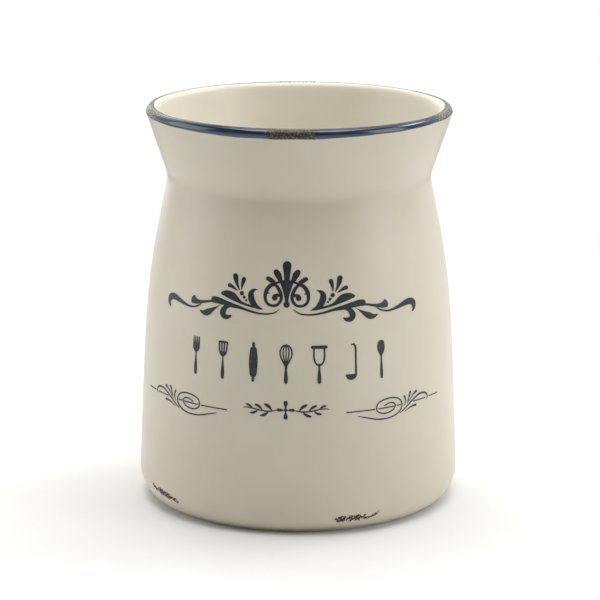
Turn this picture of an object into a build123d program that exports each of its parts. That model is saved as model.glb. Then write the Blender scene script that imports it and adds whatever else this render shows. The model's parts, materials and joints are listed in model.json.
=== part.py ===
from build123d import *
import math
import os

# Utensil crock: a slip-cast stoneware jar with a flared collar, cream glaze inside and
# out, a navy band on its lip, painted wear marks and a printed ornament on the front.
# Origin: the middle of the foot, on the surface that the crock stands on. +Z is up and
# the printed front faces -Y. Lengths are in millimetres, angles in degrees.

# Outside of the crock, over the glaze
HEIGHT = 170.0              # table to the top of the lip
FOOT_DIAMETER = 123.0       # where the wall meets the table
BELLY_DIAMETER = 137.5      # widest place, just above the foot
BELLY_RISE = 13.0           # table to the widest place
NECK_DIAMETER = 112.4       # narrowest place, under the collar
NECK_LENGTH = 2.6           # upright run between the shoulder and the collar
COLLAR_HEIGHT = 28.8        # top of the neck to the top of the lip
RIM_DIAMETER = 131.8        # at the collar's outer edge, before the lip is rounded

# Inside of the crock
WALL = 5.3                  # wall thickness at the neck, glaze included
FLOOR_THICKNESS = 5.0       # inside floor to the underside of the base
FLOOR_ROUND = 9.0           # curve from the wall into the floor
INNER_NECK_ROUND = 17.0     # curve inside the neck

# Foot
FOOT_RING_WIDTH = 5.0       # the ring that the crock stands on
BASE_RECESS = 2.0           # how far the base is lifted off the table
RECESS_SLOPE = 1.5          # how far the ring's inner side leans inwards
FOOT_EDGE_ROUND = 0.6       # both edges of the ring

# Glaze and paint
GLAZE = 0.45                # thickness of every glazed coat
BARE_FOOT = 1.2             # height of the unglazed clay above the table
BASE_GLAZE_MARGIN = 2.0     # unglazed ring between the base glaze and the foot ring
BAND_DROP = 3.5             # navy band, from the top of the lip down the outside
BAND_INSIDE = 0.66          # navy band, from the top of the lip inwards
PRINT_PROUD = 0.12          # thickness of the fired print
WEAR_PROUD = 0.08           # thickness of the painted wear marks

# Printed crest, over the middle of the front
CREST_HEIGHT = 25.0
CREST_LOW = 90.0            # height of its lowest point above the table

# Pair of pen flourishes, low on both sides of the front
FLOURISH_HEIGHT = 10.0
FLOURISH_LOW = 47.5         # height of its lowest point above the table
FLOURISH_START = 24.5       # along the wall from the middle of the front

# Row of kitchen tools between the crest and the flourishes
TOOL_HEIGHT = 16.0
TOOL_LOW = 65.5
TOOL_PITCH = 13.4

# Sprig between the flourishes
SPRIG_WIDTH = 36.0
SPRIG_MIDDLE = 54.0         # height of its middle above the table

# Painted wear marks
FRONT_WEAR_START = 20.0     # chips right of the middle, from the middle of the front
FRONT_WEAR_LOW = 5.2        # their lower edge above the table
SIDE_WEAR_START = 49.5      # chips on the left side, from the middle of the front
SIDE_WEAR_LOW = 6.8         # their lower edge above the table
SIDE_WEAR_CLIMB = 1.6       # how far that row climbs outwards
CHIP_HEIGHT = 3.0
CHIP_LENGTH = 18.5          # along the wall, a whole row of chips
RIM_WEAR_LENGTH = 32.0      # along the lip, the longest mark

OVERRUN = 6.0               # how far a cutting shape runs past what it cuts
PRINT_MARGIN = 2.0          # wall kept in hand above and below a print while it is cut

# Shape of the wall from the belly to the shoulder, where its straight run to the neck
# begins. Each place is a share of the rise to the neck and a share of the draw-in.
WALL_SHARES = [(0.262, 0.101), (0.497, 0.227), (0.690, 0.418), (0.848, 0.691)]
# How far the curves at the neck's lower and upper end reach along the neck
NECK_REACH_SHARES = (0.17, 0.82)
# Round of the lip, of the wall: half would be a full round
LIP_SHARE = 0.46
# How far the wide end of a stroke bulges, of half its width
ROUND_END_SHARE = 1.0
FLARED_END_SHARE = 0.5
FLAT_END_SHARE = 0.12
# How heavily the crest's strokes are drawn, of the widths in its drawing
CREST_WEIGHT_SHARE = 1.13
# Places along the wall's curve at which its radius is looked up
WALL_STEPS = 100

foot_radius = FOOT_DIAMETER / 2
belly_radius = BELLY_DIAMETER / 2
neck_radius = NECK_DIAMETER / 2
rim_radius = RIM_DIAMETER / 2
neck_top = HEIGHT - COLLAR_HEIGHT
neck_low = neck_top - NECK_LENGTH
neck_middle = (neck_low + neck_top) / 2
floor_height = BASE_RECESS + FLOOR_THICKNESS
base_middle = (BASE_RECESS + floor_height) / 2
half_wall = WALL / 2
collar_tilt = math.atan2(rim_radius - neck_radius, COLLAR_HEIGHT)
lip_width = WALL / math.cos(collar_tilt)
lip_round = LIP_SHARE * WALL
crest_radius = rim_radius - lip_round / math.tan((math.pi / 2 - collar_tilt) / 2)
band_low = HEIGHT - BAND_DROP
band_border = crest_radius - BAND_INSIDE
ring_inside = foot_radius - FOOT_RING_WIDTH
base_glaze_radius = ring_inside - RECESS_SLOPE - BASE_GLAZE_MARGIN
widest = max(belly_radius, rim_radius) + OVERRUN


def wall_place(rise_share, draw_share):
    """Place between the belly and the neck, as (radius, height)."""
    radius = belly_radius - draw_share * (belly_radius - neck_radius)
    height = BELLY_RISE + rise_share * (neck_low - BELLY_RISE)
    return (radius, height)


def moved_in(points, inset):
    """The same (radius, height) points, this much nearer to the axis."""
    return [(radius - inset, height) for radius, height in points]


def run(start, end):
    """Way from one point to another."""
    return Vector(*end) - Vector(*start)


def curve_radius(before, corner, after, reach):
    """Radius of the curve that leaves both runs at this distance from their corner."""
    turn = math.radians(run(before, corner).get_angle(run(corner, after)))
    return reach / math.tan(turn / 2)


def span(left, right, low, high, mode=Mode.ADD):
    """Rectangle between two radii and two heights."""
    with Locations(((left + right) / 2, (low + high) / 2)):
        Rectangle(right - left, high - low, mode=mode)


# Wall from the belly up to the shoulder, outside and inside
wall_points = [(belly_radius, BELLY_RISE)] + [wall_place(*shares) for shares in WALL_SHARES]
shoulder = wall_points[-1]
inner_points = moved_in(wall_points, WALL)
inner_points[0] = (belly_radius - WALL, floor_height + FLOOR_ROUND)

# Curves at the lower and the upper end of the neck
neck_ends = [(neck_radius, neck_low), (neck_radius, neck_top)]
neck_rounds = [
    curve_radius(shoulder, *neck_ends, NECK_REACH_SHARES[0] * NECK_LENGTH),
    curve_radius(*neck_ends, (rim_radius, HEIGHT), NECK_REACH_SHARES[1] * NECK_LENGTH),
]


def wall_line(points):
    """Smooth line through the points, which ends in line with the run to the neck."""
    return Spline(*points, tangents=(run(*points[:2]), run(shoulder, neck_ends[0])))


def ware_section(peel=0):
    """Half of the upright section of the ware, with a layer this thick peeled off.

    A peel below zero lays a layer on. The section runs past the axis, so that the layer
    comes off the surface and not off the axis.
    """
    top = HEIGHT - peel
    lean = peel / math.cos(collar_tilt)
    sink = peel * math.tan(collar_tilt)
    outside = moved_in(wall_points, peel)
    outer_edge = (rim_radius - lean - sink, top)
    inside = moved_in(inner_points, -peel)
    inner_edge = (rim_radius - lip_width + lean - sink, top)
    foot = (foot_radius - peel, peel)
    floor_edge = (belly_radius - WALL - FLOOR_ROUND, floor_height - peel)
    with BuildSketch(Plane.XZ) as section:
        with BuildLine():
            TangentArc(outside[0], foot, tangent=run(outside[1], outside[0]))
            wall_line(outside)
            FilletPolyline(outside[-1], *moved_in(neck_ends, peel), outer_edge, radius=neck_rounds)
            Line(outer_edge, inner_edge)
            FilletPolyline(
                inner_edge,
                (neck_radius - WALL + peel, neck_middle),
                inside[-1],
                radius=INNER_NECK_ROUND,
            )
            wall_line(inside)
            TangentArc(inside[0], floor_edge, tangent=run(inside[1], inside[0]))
            Polyline(
                floor_edge,
                (-OVERRUN, floor_height - peel),
                (-OVERRUN, BASE_RECESS + peel),
                (ring_inside - RECESS_SLOPE, BASE_RECESS + peel),
                (ring_inside, peel),
                foot,
            )
        make_face()
        fillet(section.vertices().group_by(Axis.Y)[-1], radius=lip_round - peel)
        fillet(section.vertices().group_by(Axis.Y)[0], radius=FOOT_EDGE_ROUND)
    return section.sketch_local


# Everything on the hollow side of the middle of the wall and of the base
with BuildSketch(Plane.XZ) as hollow_side:
    with BuildLine():
        wall_line(moved_in(wall_points, half_wall))
        Polyline(
            (shoulder[0] - half_wall, shoulder[1]),
            (neck_radius - half_wall, neck_middle),
            (crest_radius, HEIGHT - lip_round),
            (crest_radius, HEIGHT + OVERRUN),
            (-OVERRUN, HEIGHT + OVERRUN),
            (-OVERRUN, base_middle),
            (ring_inside, base_middle),
            (belly_radius - half_wall, BELLY_RISE),
        )
    make_face()

# The coat is the skin of the ware, one glaze deep
with BuildSketch(Plane.XZ) as coat_section:
    add(ware_section())
    add(ware_section(GLAZE), mode=Mode.SUBTRACT)
    span(0, widest, -OVERRUN, HEIGHT + OVERRUN, mode=Mode.INTERSECT)

os.makedirs("parts", exist_ok=True)

# Navy band, over the lip and a little way down the outside
with BuildPart() as rim_band:
    with BuildSketch(Plane.XZ) as rim_band_section:
        add(coat_section.sketch_local)
        span(band_border, widest, band_low, HEIGHT + OVERRUN, mode=Mode.INTERSECT)
    revolve(axis=Axis.Z)
rim_band.part.label = "rim_band"
export_step(rim_band.part, "parts/rim_band.step")

# Cream glaze outside, from the dry foot up to the band
with BuildPart() as outer_glaze:
    with BuildSketch(Plane.XZ) as outer_glaze_section:
        add(coat_section.sketch_local)
        add(hollow_side.sketch_local, mode=Mode.SUBTRACT)
        span(0, widest, BARE_FOOT, band_low, mode=Mode.INTERSECT)
        span(0, ring_inside, -OVERRUN, floor_height, mode=Mode.SUBTRACT)
    revolve(axis=Axis.Z)
outer_glaze.part.label = "outer_glaze"
export_step(outer_glaze.part, "parts/outer_glaze.step")

# Cream glaze inside, floor and wall, up to the band
with BuildPart() as inner_glaze:
    with BuildSketch(Plane.XZ) as inner_glaze_section:
        add(coat_section.sketch_local)
        add(hollow_side.sketch_local, mode=Mode.INTERSECT)
        add(rim_band_section.sketch_local, mode=Mode.SUBTRACT)
    revolve(axis=Axis.Z)
inner_glaze.part.label = "inner_glaze"
export_step(inner_glaze.part, "parts/inner_glaze.step")

# Glaze on the lifted base, inside the foot ring
with BuildPart() as base_glaze:
    with BuildSketch(Plane.XZ) as base_glaze_section:
        add(coat_section.sketch_local)
        span(0, base_glaze_radius, 0, BASE_RECESS + GLAZE, mode=Mode.INTERSECT)
    revolve(axis=Axis.Z)
base_glaze.part.label = "base_glaze"
export_step(base_glaze.part, "parts/base_glaze.step")

# Fired clay: all of the ware that the coats leave, with its bare foot ring
with BuildPart() as fired_body:
    with BuildSketch(Plane.XZ) as fired_body_section:
        add(ware_section())
        span(0, widest, -OVERRUN, HEIGHT + OVERRUN, mode=Mode.INTERSECT)
        for coat in (rim_band_section, outer_glaze_section, inner_glaze_section, base_glaze_section):
            add(coat.sketch_local, mode=Mode.SUBTRACT)
    revolve(axis=Axis.Z)
fired_body.part.label = "fired_body"
export_step(fired_body.part, "parts/fired_body.step")


def wall_layer(low, high, thickness):
    """Thin layer over the outside of the wall between two heights, right round it."""
    with BuildPart() as layer:
        with BuildSketch(Plane.XZ):
            add(ware_section(-thickness))
            add(ware_section(), mode=Mode.SUBTRACT)
            add(hollow_side.sketch_local, mode=Mode.SUBTRACT)
            span(0, widest, low - PRINT_MARGIN, high + PRINT_MARGIN, mode=Mode.INTERSECT)
        revolve(axis=Axis.Z)
    return layer.part


# Thin layer over the band, which the wear marks on the lip are cut from
with BuildPart() as lip_layer:
    with BuildSketch(Plane.XZ):
        add(ware_section(-WEAR_PROUD))
        add(ware_section(), mode=Mode.SUBTRACT)
        span(band_border, widest, band_low, HEIGHT + OVERRUN, mode=Mode.INTERSECT)
    revolve(axis=Axis.Z)


# Places along the wall's curve, from the belly up
wall_steps = [wall_line(wall_points) @ (step / WALL_STEPS) for step in range(WALL_STEPS + 1)]


def wall_radius(height):
    """Outside radius of the wall at this height, between the belly and the shoulder."""
    above = next((index for index, step in enumerate(wall_steps) if step.Y > height), 1)
    low, high = wall_steps[max(above, 1) - 1], wall_steps[max(above, 1)]
    return low.X + (high.X - low.X) * (height - low.Y) / (high.Y - low.Y)


print_radius = wall_radius(CREST_LOW)


def front_place(along, height):
    """Where a point of the wall shows from the front.

    along is its distance from the middle of the front, measured round the wall at the
    foot of the crest, and height its height above the table.
    """
    return (wall_radius(height) * math.sin(along / print_radius), height)


def brush_stroke(points, place, end_share=ROUND_END_SHARE, weight_share=1, mode=Mode.ADD):
    """Smooth band along a middle line, as wide at each point as that point says.

    points holds (across, up, width). place turns a point of the drawing into one of the
    front view. end_share is how far a wide end bulges: 1 is a half circle. weight_share
    is by how much the whole stroke is widened.
    """
    middles = [Vector(across, up) for across, up, _ in points]
    halves = [width * weight_share / 2 for _, _, width in points]
    ways = [
        (middles[min(index + 1, len(points) - 1)] - middles[max(index - 1, 0)]).normalized()
        for index in range(len(points))
    ]
    asides = [way.rotate(Axis.Z, 90) * half for way, half in zip(ways, halves)]
    left = [place(middle.X + aside.X, middle.Y + aside.Y) for middle, aside in zip(middles, asides)]
    right = [place(middle.X - aside.X, middle.Y - aside.Y) for middle, aside in zip(middles, asides)]
    with BuildLine() as outline:
        Spline(*left)
        Spline(*right)
        for index, way_out in ((0, -1), (-1, 1)):
            if halves[index] > 0:
                tip = middles[index] + ways[index] * halves[index] * end_share * way_out
                ThreePointArc(left[index], place(tip.X, tip.Y), right[index])
    make_face(outline.edges(), mode=mode)


# The prints are drawn flat on a grid and then laid on the wall. A place on the grid is
# (across, up) and a stroke's point (across, up, width), all in shares of the print's own
# size: twenty-fifths of the crest's height, tenths of the flourish's height, hundredths
# of a kitchen tool's height and thirty-sixths of the sprig's width.
crest_grid = CREST_HEIGHT / 25
flourish_grid = FLOURISH_HEIGHT / 10
tool_grid = TOOL_HEIGHT / 100
sprig_grid = SPRIG_WIDTH / 36

# Fan in the middle of the crest, right half
FAN_MIDDLE_SHARES = [
    [(0, 18.0, 2.0), (0, 19.5, 2.3), (0, 21.3, 2.8), (0, 23.4, 3.3)],
    [(0, 8.0, 1.3), (0, 10.0, 1.5), (0, 12.5, 2.5), (0, 15.0, 4.0), (0, 16.9, 5.3)],
]
FAN_BRIDGE_SHARES = [
    (-5.6, 16.0, 0.7), (-3.0, 16.8, 0.8), (0, 17.25, 0.9), (3.0, 16.8, 0.8), (5.6, 16.0, 0.7),
]
FAN_PETAL_SHARES = [
    [(2.8, 17.5, 1.7), (3.3, 18.8, 2.15), (3.95, 19.9, 2.4), (4.65, 20.8, 2.0)],
    [(5.6, 16.75, 1.3), (6.6, 17.3, 1.65), (7.4, 17.75, 1.7), (8.2, 18.1, 1.4)],
]
FAN_RING_SHARES = [
    [
        (4.6, 15.5, 0.9), (6.3, 15.55, 1.3), (7.8, 14.4, 1.5), (8.7, 12.9, 1.5), (9.1, 11.1, 1.3),
        (8.9, 9.4, 1.1), (8.2, 8.1, 1.05), (7.1, 7.4, 1.0), (5.9, 7.12, 1.0),
    ],
    [
        (6.6, 7.25, 0.9), (5.4, 7.12, 1.0), (4.3, 7.35, 1.0), (3.2, 8.2, 1.05), (2.45, 9.4, 1.1),
        (2.25, 10.8, 1.2), (2.55, 12.2, 1.3), (3.2, 13.6, 1.25), (4.1, 14.9, 1.2), (4.9, 15.8, 0.9),
    ],
]
FAN_CURL_SHARES = [(2.3, 11.0, 0.8), (3.2, 11.4, 1.0), (4.2, 11.35, 1.35), (5.0, 10.8, 1.8)]
FAN_EYE_SHARES = (5.0, 10.4, 1.15)
FAN_SPUR_SHARES = [(8.6, 12.5, 1.1), (7.9, 12.2, 0.6), (7.2, 12.0, 0.1)]
FAN_KNOB_SHARES = (0, 7.75, 1.3)

# One side of the crest, right
CREST_SIDE_SHARES = {
    "crescent": [
        (12.5, 13.35, 0.15), (13.9, 13.1, 0.9), (14.95, 12.2, 1.8), (15.25, 11.0, 2.3), (15.1, 9.7, 2.4),
        (14.5, 8.35, 2.3), (13.6, 7.15, 2.1), (12.3, 6.2, 1.4), (10.9, 5.7, 0.7), (9.9, 5.4, 0.15),
    ],
    "leaf": [
        (12.0, 5.75, 0.6), (15.0, 6.4, 0.8), (17.5, 6.95, 0.9), (19.8, 7.7, 1.2), (21.5, 8.7, 2.0),
        (23.2, 9.65, 2.75), (25.0, 10.25, 2.8), (27.0, 10.55, 2.2), (28.4, 10.45, 1.2),
    ],
    "left bud": [
        (19.5, 13.1, 0.35), (19.45, 14.1, 0.75), (19.3, 15.1, 1.15), (19.05, 16.1, 1.5), (18.75, 17.1, 1.6),
    ],
    "middle bud": [
        (20.45, 12.75, 0.35), (21.3, 14.1, 0.85), (21.95, 15.5, 1.45), (22.4, 16.8, 1.95), (22.7, 18.0, 2.1),
    ],
    "right bud": [
        (21.3, 12.3, 0.25), (22.3, 12.8, 0.6), (23.3, 13.35, 0.95), (24.3, 13.85, 1.3), (25.3, 14.1, 1.45),
    ],
    "stem": [
        (2.9, 5.9, 0.15), (4.6, 4.5, 0.4), (8.0, 3.65, 0.55), (12.0, 3.75, 0.65), (16.0, 4.5, 0.8),
        (20.0, 5.5, 1.1), (24.0, 6.15, 1.7), (27.0, 6.75, 1.95), (30.0, 7.3, 2.3), (32.4, 7.4, 2.4),
    ],
    "curl": [
        (24.2, 5.7, 0.9), (26.0, 5.2, 1.6), (27.2, 4.1, 2.1), (27.7, 2.7, 2.4), (27.2, 1.5, 2.1),
        (26.1, 1.0, 1.7), (24.9, 1.15, 1.3), (23.9, 1.7, 0.6),
    ],
    "blade": [
        (29.1, 5.65, 0.15), (30.8, 4.5, 0.5), (32.5, 3.4, 1.3), (33.9, 2.5, 2.0), (35.3, 1.8, 2.4),
        (36.8, 1.4, 1.85), (38.2, 1.6, 1.1), (39.2, 2.05, 0.35),
    ],
    "flared stem": [
        (32.5, 6.7, 0.8), (35.0, 6.4, 0.8), (37.5, 5.85, 1.0), (39.5, 5.55, 1.3), (41.2, 5.45, 1.85),
        (42.6, 5.7, 2.6), (43.6, 6.1, 3.3),
    ],
    "tail": [
        (38.6, 5.05, 0.2), (40.2, 3.95, 0.55), (42.5, 3.1, 0.65), (45.5, 2.9, 0.75), (48.5, 3.4, 1.1),
        (51.5, 4.15, 1.6), (54.3, 4.85, 2.1), (56.8, 5.0, 2.4), (58.7, 4.3, 2.5), (59.25, 2.9, 2.1),
        (58.9, 1.6, 1.3), (58.1, 0.7, 0.6),
    ],
}
CREST_DOT_SHARES = [(19.35, 11.35, 0.9), (18.2, 9.8, 0.62), (17.25, 8.65, 0.48)]

# One pen flourish, right, across from its inner end
FLOURISH_RULE_SHARES = [
    [(0, 4.8, 0.45), (12.1, 4.85, 0.45)],
    [(14.1, 4.85, 0.45), (21.4, 4.9, 0.45)],
    [(22.9, 4.95, 0.45), (24.8, 5.0, 0.45)],
    [(32.0, 5.1, 0.45), (39.5, 5.15, 0.45)],
    [(42.4, 5.2, 0.45), (48.9, 5.2, 0.45)],
]
FLOURISH_SPIRAL_SHARES = [
    [
        (4.8, 2.7, 0.3), (9.0, 1.6, 0.5), (13.5, 0.5, 0.55), (17.5, 0.27, 0.55), (21.5, 0.9, 0.55),
        (24.3, 2.4, 0.55), (25.6, 4.7, 0.55), (24.5, 7.3, 0.55), (22.0, 8.45, 0.55), (19.0, 8.7, 0.55),
        (15.5, 8.0, 0.55),
    ],
    [
        (15.5, 8.0, 0.55), (13.2, 6.1, 0.55), (13.3, 4.1, 0.55), (15.5, 2.75, 0.55), (18.5, 2.65, 0.55),
        (21.2, 3.7, 0.55), (22.1, 5.3, 0.55), (20.8, 6.5, 0.55), (18.5, 6.5, 0.5), (16.6, 5.7, 0.4),
    ],
]
FLOURISH_PLUME_SHARES = [
    (24.4, 1.5, 0.35), (27.5, 3.2, 0.5), (30.5, 5.1, 0.6), (33.5, 6.7, 0.65), (36.5, 7.6, 0.7),
    (39.3, 7.35, 0.7), (41.1, 5.9, 0.65), (40.6, 4.45, 0.4),
]
FLOURISH_PETAL_SHARES = [
    [(26.8, 4.3, 0.25), (27.45, 5.6, 0.4), (27.45, 7.0, 0.6), (27.05, 8.1, 0.95)],
    [(28.5, 4.8, 0.25), (29.1, 6.4, 0.4), (29.8, 8.0, 0.7), (30.3, 9.3, 1.05)],
    [(29.3, 5.5, 0.25), (31.0, 7.2, 0.4), (32.6, 8.4, 0.7), (33.8, 9.05, 1.1)],
    [(26.8, 1.6, 0.25), (29.0, 2.5, 0.4), (31.6, 3.2, 0.7), (33.4, 3.25, 1.0)],
]

# Kitchen tools, upright, each about its own middle
TOOL_SHARES = {
    "tool_fork": [
        [(0, 1, 7.5), (0, 25, 8.5), (0, 42, 5.0), (0, 58, 5.5)],
        [(0, 56, 6), (0, 63, 18), (0, 70, 22)],
        [(-8.8, 66, 4.6), (-9.0, 82, 4.2), (-9.0, 96, 2.8)],
        [(-3.0, 66, 4.2), (-3.0, 82, 4.0), (-3.0, 96, 2.8)],
        [(3.0, 66, 4.2), (3.0, 82, 4.0), (3.0, 96, 2.8)],
        [(8.8, 66, 4.6), (9.0, 82, 4.2), (9.0, 96, 2.8)],
    ],
    "tool_turner": [
        [(0, 1, 8.0), (0, 22, 9.0), (0, 40, 5.0), (0, 60, 5.0)],
        [(0, 56, 6), (0, 64, 20), (0, 78, 26), (0, 95, 29)],
    ],
    "tool_rolling_pin": [
        [(0, 2, 7.5), (0, 10, 7.0), (0, 16, 5.0)],
        [(0, 19, 18), (0, 34, 21.5), (0, 66, 21.5), (0, 81, 18)],
        [(0, 84, 5.0), (0, 90, 7.0), (0, 98, 7.5)],
        [(0, 14, 4.5), (0, 86, 4.5)],
    ],
    "tool_whisk": [
        [(0, 1, 8.5), (0, 18, 9.0), (0, 34, 6.0), (0, 43, 7.5)],
        [(0, 40, 3.8), (-9.5, 58, 3.8), (-15, 76, 3.8), (-10.5, 92, 3.8), (0.8, 98, 3.8)],
        [(0, 40, 3.8), (9.5, 58, 3.8), (15, 76, 3.8), (10.5, 92, 3.8), (-0.8, 98, 3.8)],
        [(0, 42, 3.2), (-4.8, 60, 3.2), (-7.3, 77, 3.2), (-5.3, 91, 3.2), (0.5, 98, 3.2)],
        [(0, 42, 3.2), (4.8, 60, 3.2), (7.3, 77, 3.2), (5.3, 91, 3.2), (-0.5, 98, 3.2)],
        [(0, 42, 3.0), (0, 97, 3.0)],
    ],
    "tool_masher": [
        [(0, 1, 8.5), (0, 18, 9.0), (0, 34, 5.5), (0, 47, 5.5)],
        [(0, 44, 4.4), (-8.5, 50, 4.4), (-13, 62, 4.4), (-13.5, 76, 4.4), (-13.5, 90, 4.4)],
        [(0, 44, 4.4), (8.5, 50, 4.4), (13, 62, 4.4), (13.5, 76, 4.4), (13.5, 90, 4.4)],
        [(-17, 92, 8.5), (0, 92, 8.5), (17, 92, 8.5)],
    ],
    "tool_ladle": [
        [(11.5, 16, 5.5), (11.5, 40, 5.0), (11.5, 70, 5.0), (11, 86, 5.2), (6.5, 95, 4.6), (0.5, 94, 3.6)],
    ],
    "tool_spoon": [
        [(0, 1, 7.0), (0, 25, 7.5), (0, 42, 5.0), (0, 60, 5.2)],
        [(0, 58, 6), (0, 66, 15.5), (0, 77, 22.5), (0, 88, 19.5)],
    ],
}
TURNER_SLOT_SHARES = [
    [(-6.7, 70, 3.0), (-7.7, 90, 3.2)],
    [(0, 70, 3.0), (0, 90, 3.2)],
    [(6.7, 70, 3.0), (7.7, 90, 3.2)],
]
# Bowl of the ladle: both ends of its rim, then the lowest point below it
LADLE_BOWL_SHARES = [(-16, 17.5), (14, 17.5), (-1, 2.5)]

# Sprig: right half about its middle
SPRIG_SHARES = [
    [(0, 0.9, 0.5), (0, 2.0, 1.3), (0, 3.1, 1.7)],
    [(0, -0.9, 0.5), (0, -2.0, 1.3), (0, -3.1, 1.7)],
    [(0.9, 0, 0.4), (2.0, 0, 1.1), (2.9, 0, 1.3)],
    [(3.4, 0, 0.3), (7.0, -0.7, 0.5), (11.0, -0.3, 0.5), (14.5, 0.35, 0.45), (17.2, 0.2, 0.3)],
    [(5.4, -0.6, 0.2), (6.1, 0.6, 0.9), (7.2, 1.6, 1.3), (8.4, 2.2, 0.6)],
    [(6.8, -0.7, 0.2), (7.7, -1.7, 0.9), (8.9, -2.4, 1.2), (10.1, -2.7, 0.5)],
    [(9.3, -0.5, 0.2), (10.1, 0.6, 0.8), (11.2, 1.4, 1.1), (12.3, 1.8, 0.5)],
    [(11.2, -0.3, 0.2), (12.1, -1.2, 0.8), (13.2, -1.7, 1.0), (14.3, -1.8, 0.4)],
    [(13.4, 0.15, 0.2), (14.2, 1.0, 0.7), (15.1, 1.5, 0.9), (16.1, 1.7, 0.4)],
]
SPRIG_MIDDLE_SHARE = 0.75
# How far the sprig reaches up and down from its middle
SPRIG_REACH_SHARE = 4.0


def on_wall(start, low, grid, side=1):
    """Placing function for a print whose grid starts at these places on the wall.

    side is -1 for the mirror image on the left.
    """
    return lambda across, up: front_place(side * (start + across * grid), low + up * grid)


def dot(spot, place, grid):
    """Round dot, spot holding its middle and its radius."""
    across, up, radius = spot
    with Locations(place(across, up)):
        Circle(radius * grid)


def crest_stroke(points, place, end_share=ROUND_END_SHARE):
    """Stroke of the crest, at the crest's weight."""
    brush_stroke(points, place, end_share, CREST_WEIGHT_SHARE)


def fan():
    """Fan of petals and two rings with curled tips."""
    for side in (1, -1):
        place = on_wall(0, CREST_LOW, crest_grid, side)
        for points in FAN_RING_SHARES + FAN_PETAL_SHARES:
            crest_stroke(points, place)
        crest_stroke(FAN_CURL_SHARES, place)
        crest_stroke(FAN_SPUR_SHARES, place)
        dot(FAN_EYE_SHARES, place, crest_grid)
    middle_petal, stem = FAN_MIDDLE_SHARES
    crest_stroke(middle_petal, place)
    crest_stroke(stem, place, FLAT_END_SHARE)
    crest_stroke(FAN_BRIDGE_SHARES, place)
    dot(FAN_KNOB_SHARES, place, crest_grid)


def crest_side(side):
    """Scroll of leaves, buds and a long tail on one side of the fan."""
    place = on_wall(0, CREST_LOW, crest_grid, side)
    for name, points in CREST_SIDE_SHARES.items():
        crest_stroke(points, place, FLARED_END_SHARE if name == "flared stem" else ROUND_END_SHARE)
    for spot in CREST_DOT_SHARES:
        dot(spot, place, crest_grid)


def flourish(side):
    """Pen flourish: a broken rule, a spiral through it, and a plume with petals."""
    place = on_wall(FLOURISH_START, FLOURISH_LOW, flourish_grid, side)
    for points in FLOURISH_RULE_SHARES + FLOURISH_SPIRAL_SHARES + FLOURISH_PETAL_SHARES:
        brush_stroke(points, place)
    brush_stroke(FLOURISH_PLUME_SHARES, place)


def kitchen_tool(name, start):
    """One kitchen tool standing upright at this place along the wall."""
    place = on_wall(start, TOOL_LOW, tool_grid)
    for points in TOOL_SHARES[name]:
        flat_end = name == "tool_turner" and points is TOOL_SHARES[name][-1]
        brush_stroke(points, place, FLAT_END_SHARE if flat_end else ROUND_END_SHARE)
    if name == "tool_turner":
        for slot in TURNER_SLOT_SHARES:
            brush_stroke(slot, place, mode=Mode.SUBTRACT)
    if name == "tool_ladle":
        left, right, bottom = [place(*point) for point in LADLE_BOWL_SHARES]
        with BuildLine() as bowl:
            Line(left, right)
            ThreePointArc(right, bottom, left)
        make_face(bowl.edges())


def sprig():
    """Four petals round a dot, with a leafy stem to each side."""
    for side in (1, -1):
        place = on_wall(0, SPRIG_MIDDLE, sprig_grid, side)
        for points in SPRIG_SHARES:
            brush_stroke(points, place)
    dot((0, 0, SPRIG_MIDDLE_SHARE), place, sprig_grid)


def fired_on(layer, name, draw):
    """Lay what draw sketches on the front of the wall as thin as the layer, and write it."""
    with BuildPart() as printed:
        with BuildSketch(Plane.XZ):
            draw()
        extrude(amount=widest)
        add(layer, mode=Mode.INTERSECT)
    printed.part.label = name
    export_step(printed.part, f"parts/{name}.step")


crest_layer = wall_layer(CREST_LOW, CREST_LOW + CREST_HEIGHT, PRINT_PROUD)
flourish_layer = wall_layer(FLOURISH_LOW, FLOURISH_LOW + FLOURISH_HEIGHT, PRINT_PROUD)
fired_on(crest_layer, "crest_fan", fan)
for side_name, side in (("left", -1), ("right", 1)):
    fired_on(crest_layer, f"crest_{side_name}_scroll", lambda: crest_side(side))
    fired_on(flourish_layer, f"{side_name}_flourish", lambda: flourish(side))

tool_layer = wall_layer(TOOL_LOW, TOOL_LOW + TOOL_HEIGHT, PRINT_PROUD)
for index, name in enumerate(TOOL_SHARES):
    start = (index - (len(TOOL_SHARES) - 1) / 2) * TOOL_PITCH
    fired_on(tool_layer, name, lambda: kitchen_tool(name, start))

sprig_reach = SPRIG_REACH_SHARE * sprig_grid
sprig_layer = wall_layer(SPRIG_MIDDLE - sprig_reach, SPRIG_MIDDLE + sprig_reach, PRINT_PROUD)
fired_on(sprig_layer, "sprig", sprig)


# Painted wear: ragged marks across the lip. Each has the turn of its middle, in degrees
# from the front towards the right, and its share of the longest mark's length.
RIM_WEAR_SHARES = [(2.7, 0.6), (79.0, 1.0), (186.0, 0.55), (284.5, 0.9)]
# Its ragged end: share of the way out over the band, share of half its length
RIM_WEAR_END_SHARES = [
    (-0.2, 0.80), (0.1, 0.97), (0.3, 0.86), (0.45, 1.0), (0.65, 0.88), (0.85, 1.05), (1.3, 0.92),
]
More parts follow.
